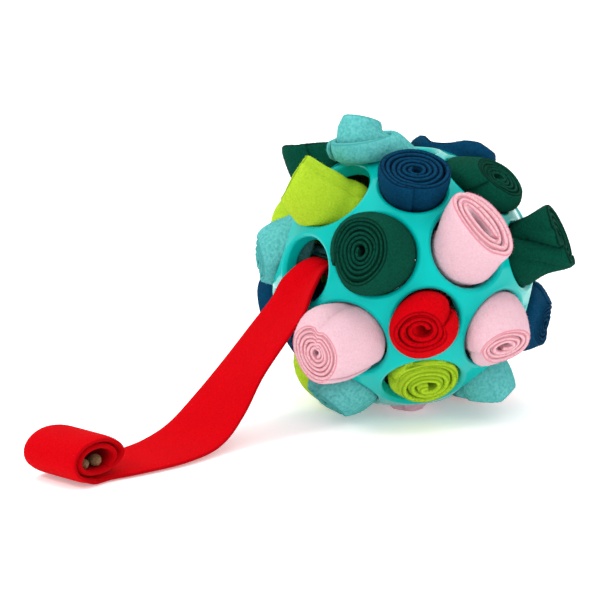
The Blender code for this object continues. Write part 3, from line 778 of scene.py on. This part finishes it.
# The end roll: how far it stands off its core sideways and up, after so many turns from its inner end
CORE_X, CORE_HIGH = -181.9, 11.7
ROLL_TURNS = 1.9
ROLL_STATIONS = 75
done = np.linspace(0, 1, ROLL_STATIONS + 1)[:-1]
turn = -math.pi / 2 - 2 * math.pi * ROLL_TURNS * (1 - done)
wound = done * ROLL_TURNS
core = np.interp(wound, [0.9, 1.15], [CORE_X, -181.2])
across = np.interp(wound, [0, 0.4, 0.65, 0.9, 1.15, 1.9], [11.0, 10.5, 9.9, 10.6, 14.8, 13.9])
upward = np.interp(wound, [0.4, 0.9, 1.15, 1.4, 1.9], [5.5, 6.0, 7.4, 8.2, 9.6])
spiral = np.stack(
    [core + across * np.cos(turn), np.full(len(done), 29.9), CORE_HIGH + upward * np.sin(turn)], -1
)
spiral[:, 2] = np.maximum(spiral[:, 2], 1.5)
centres = np.concatenate([spiral, rows[:, :3]]) * MM
heading = np.radians(np.concatenate([np.full(len(done), 90), rows[:, 3]]))
slope = np.radians(np.concatenate([np.zeros(len(done)), rows[:, 4]]))
sides = np.stack(
    [np.cos(slope) * np.cos(heading), np.cos(slope) * np.sin(heading), np.sin(slope)], -1
)
sag = np.concatenate([np.zeros(len(done)), rows[:, 5]])
widths = np.concatenate([np.full(len(done), STRIP_HALF), rows[:, 6]])
folded = np.concatenate([np.zeros(len(done)), rows[:, 7]])
inside, inside_side = middle_route(open_hole, "red_front", 0, 43.0)
inside = inside[1:]
centres = np.concatenate([centres, inside])
if inside_side @ sides[-1] < 0:
    inside_side = -inside_side
sides = np.concatenate([sides, np.repeat(inside_side[None], len(inside), 0)])
sag = np.concatenate([sag, np.zeros(len(inside))])
widths = np.concatenate([widths, np.full(len(inside), 6.0)])
folded = np.concatenate([folded, np.ones(len(inside))])
ways = unit(np.gradient(centres, axis=0))
spread = np.linspace(-1, 1, POINTS_ACROSS)
stations = []
folds = gathered(1)
for centre, side, way, drop, width, fold in zip(centres, sides, ways, sag, widths, folded):
    flat = np.stack([spread * width, (spread**2 - 1) * drop], -1) * MM
    side = unit(side - way * (side @ way))
    stations.append((centre, side, np.cross(way, side), flat * (1 - fold) + folds * fold))
middle = ribbon(stations)
half = np.interp(folded, [0, 1], [1.45, GATHERED_HALF]) * MM
half[: len(done)] = np.interp(wound, [0, 0.12], [0.7, 1.5]) * MM
half = half[:, None] * (1 - 0.45 * np.outer(1 - folded, spread**8))
# The roll's inner turn is squeezed flatter towards its far side, where no kibble holds it open.
squeezed = np.clip((spread + 0.35) / 0.9, 0, 1) ** 2 * np.clip(1 - wound, 0, 1)[:, None] ** 0.5
end_roll = middle[: len(done)]
end_roll[..., 0] += (CORE_X * MM - end_roll[..., 0]) * 0.30 * squeezed
end_roll[..., 2] += (CORE_HIGH * MM - end_roll[..., 2]) * 0.75 * squeezed
middle[..., 2] = np.maximum(middle[..., 2], half + ON_FLOOR * MM)
# Painted shade: a weak `cut` on the strip's rims darkens its long edges part way to the groove colour
red, length = thick_sheet("fleece_strip_red", middle, half, "red", edge=0.25)
# Painted shade: one side of the sheet over the end roll's inner turn takes the groove colour, as shade
# deep in the roll.
cut_and_shade = np.zeros(len(red.data.vertices), np.float32)
red.data.attributes["cut"].data.foreach_get("value", cut_and_shade)
around = cut_and_shade.reshape(len(middle), -1)
painted_shade = np.clip(1.5 - wound, 0, 0.4)[:, None] * np.clip(np.arange(POINTS_ACROSS) / 3, 0, 1)
around[: len(done), :POINTS_ACROSS] = painted_shade
red.data.attributes["cut"].data.foreach_set("value", cut_and_shade)
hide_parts("red_strip_loose", "red_strip_inside", "red_strip_end_roll")
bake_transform(red)


# Kibble in the end roll: two baked lumps of dry dog food, matt and brown, with a dimpled crust that is
# darker in patches of about a millimetre. They lie loose in the roll, where the solids' lumps are.
kibble, tree, shader = new_material("baked_kibble", "#5E4426", roughness=0.8)
place = tree.nodes.new("ShaderNodeTexCoord").outputs["Object"]
crust = ramp(tree, noise(tree, place, per_mm=0.9, detail=4, roughness=0.7), low=0.35, high=0.65)
tree.links.new(mix_colours(tree, crust, "#46301A", "#74542F"), shader.inputs["Base Color"])
grit = noise(tree, place, per_mm=1.6, detail=4, roughness=0.7)
grit = relief(tree, grit, strength=0.6, depth=0.3 * MM)
tree.links.new(grit, shader.inputs["Normal"])
for node in ("kibble_large", "kibble_small"):
    low, high = (np.array(corner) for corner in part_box(node))
    bm = bmesh.new()
    bmesh.ops.create_icosphere(bm, subdivisions=5, radius=1)
    for vertex in bm.verts:
        # The lump's own place moves it in the noise, so that the two differ
        at = vertex.co * 1.3 + Vector(low) * 900
        dents, pits = mathutils.noise.noise(at), mathutils.noise.noise(at * 3)
        lump = 1 - 0.10 * (1 + dents) - 0.05 * (1 + pits)
        vertex.co = Vector((low + high) / 2 + np.array(vertex.co) * lump * (high - low) / 2)
    mesh = bpy.data.meshes.new("baked_" + node)
    bm.to_mesh(mesh)
    bm.free()
    mesh.shade_smooth()
    mesh.materials.append(kibble)
    lump = bpy.data.objects.new("baked_" + node, mesh)
    bpy.context.scene.collection.objects.link(lump)
    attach(lump, "loose_red_strip")
    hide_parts(node)


# A plain floor of matt white paper just under the toy, with a faint glow of its own that keeps it pale,
# three soft lamps and a white world. The camera looks from where the photo was taken. Its focal length
# was found in pixels of a picture 600 pixels wide.
FLOOR_DROP = 0.05 * MM
PICTURE_WIDE = 600
FOCAL_LENGTH = 3352.08
SENSOR_WIDE = 36
floor_mesh = bpy.data.meshes.new("floor")
floor_mesh.from_pydata([(-4, -4, 0), (4, -4, 0), (4, 4, 0), (-4, 4, 0)], [], [(0, 1, 2, 3)])
floor = bpy.data.objects.new("floor", floor_mesh)
floor.location.z = -FLOOR_DROP
bpy.context.scene.collection.objects.link(floor)
paper, tree, shader = new_material("pale_floor", "#FFFFFF", 0.9)
shader.inputs["Emission Color"].default_value = (1, 1, 1, 1)
shader.inputs["Emission Strength"].default_value = 0.25
floor_mesh.materials.append(paper)


def lamp(name, place, aim, size, watts):
    """A round lamp at this place, turned to this aim. Both, and its size, are in metres."""
    light = bpy.data.lights.new(name, "AREA")
    light.shape = "DISK"
    light.size = size
    light.energy = watts
    made = bpy.data.objects.new(name, light)
    made.location = place
    made.rotation_euler = (Vector(aim) - Vector(place)).to_track_quat("-Z", "Y").to_euler()
    bpy.context.scene.collection.objects.link(made)


lamp("key_lamp", (-1.1, 0.2, 1.0), (0, 0, 0.06), 0.35, 5)
lamp("fill_lamp", (-0.6, -1.7, 0.9), (0, 0, 0.06), 2.4, 9)
lamp("top_lamp", (0.1, 0.3, 1.4), (-0.05, 0, 0.05), 2.0, 11)

# The world is as white as a light as it is as a background. The two are apart, so that the background
# would stay white, also where the plastic mirrors it, with less light on the toy.
world = bpy.data.worlds.new("studio")
world.use_nodes = True
bpy.context.scene.world = world
tree = world.node_tree
room = tree.nodes["Background"]
room.inputs["Color"].default_value = (1, 1, 1, 1)
room.inputs["Strength"].default_value = 1.0
white = tree.nodes.new("ShaderNodeBackground")
white.inputs["Strength"].default_value = 1.0
white.inputs["Color"].default_value = (1, 1, 1, 1)
path = tree.nodes.new("ShaderNodeLightPath")
either = path.outputs["Is Camera Ray"]
for ray in ("Is Glossy Ray", "Is Transmission Ray"):
    largest = tree.nodes.new("ShaderNodeMath")
    largest.operation = "MAXIMUM"
    tree.links.new(either, largest.inputs[0])
    tree.links.new(path.outputs[ray], largest.inputs[1])
    either = largest.outputs["Value"]
choose = tree.nodes.new("ShaderNodeMixShader")
tree.links.new(either, choose.inputs["Fac"])
tree.links.new(room.outputs["Background"], choose.inputs[1])
tree.links.new(white.outputs["Background"], choose.inputs[2])
tree.links.new(choose.outputs["Shader"], tree.nodes["World Output"].inputs["Surface"])

bpy.context.scene.view_settings.view_transform = "Standard"
camera_data = bpy.data.cameras.new("camera")
camera_data.sensor_width = SENSOR_WIDE
camera_data.lens = FOCAL_LENGTH * SENSOR_WIDE / PICTURE_WIDE
camera_data.clip_end = 20
camera = bpy.data.objects.new("camera", camera_data)
camera.location = (-1.1375, -0.9647, 0.4220)
camera.rotation_euler = (math.radians(90 - 14), 0, math.radians(-47.9))
bpy.context.scene.collection.objects.link(camera)
bpy.context.scene.camera = camera
